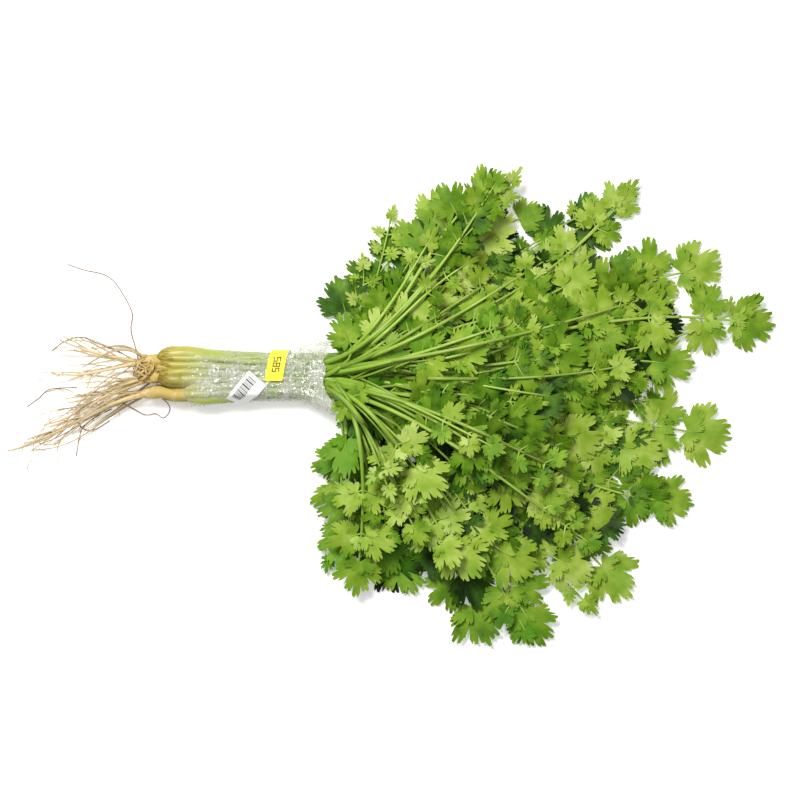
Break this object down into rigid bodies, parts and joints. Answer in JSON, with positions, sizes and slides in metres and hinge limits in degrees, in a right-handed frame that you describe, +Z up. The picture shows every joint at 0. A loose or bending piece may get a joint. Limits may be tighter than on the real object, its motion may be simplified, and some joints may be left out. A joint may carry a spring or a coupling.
{
  "type": "coriander bunch",
  "caption": "Fresh coriander bunch with its roots, lying on its side: stalks held in a clear film sleeve, toothed leaves fanning out at one end.",
  "frame": {"origin": "on the table, under the middle of the flat strip that the film sleeve rests on", "axes": "+X from the roots to the leaf tips, +Z up from the table, +Y to the left of the bunch"},
  "size_m": [0.414, 0.2589, 0.0511],
  "materials": {
    "leaf": "fresh herb leaf and stalk, satin, mid green to yellow-green, slightly translucent",
    "root": "washed taproot and side roots, matt tan, paler at the crown",
    "film": "clear polyethylene film, crinkled, glossy",
    "tape": "yellow adhesive tape, satin",
    "label": "white coated paper label with plain bars"
  },
  "bodies": {
    "root": {"leaf_01": "leaf", "leaf_02": "leaf", "leaf_03": "leaf", "leaf_04": "leaf", "leaf_05": "leaf", "leaf_06": "leaf", "leaf_07": "leaf", "leaf_08": "leaf", "leaf_09": "leaf", "leaf_10": "leaf", "leaf_11": "leaf", "leaf_12": "leaf", "leaf_13": "leaf", "leaf_14": "leaf", "leaf_15": "leaf", "leaf_16": "leaf", "leaf_17": "leaf", "leaf_18": "leaf", "leaf_19": "leaf", "leaf_20": "leaf", "leaf_21": "leaf", "leaf_22": "leaf", "leaf_23": "leaf", "leaf_24": "leaf", "leaf_25": "leaf", "leaf_26": "leaf", "leaf_27": "leaf", "leaf_28": "leaf", "leaf_29": "leaf", "leaf_30": "leaf", "leaf_31": "leaf", "leaf_32": "leaf", "leaf_33": "leaf", "leaf_34": "leaf", "leaf_35": "leaf", "leaf_36": "leaf", "leaf_37": "leaf", "leaf_38": "leaf", "leaf_39": "leaf", "root_low_left": "root", "root_low_middle": "root", "root_low_right": "root", "root_high_left": "root", "root_high_middle": "root", "root_high_right": "root", "film_sleeve": "film", "date_tape": "tape", "price_label": "label"}
  },
  "joints": []
}
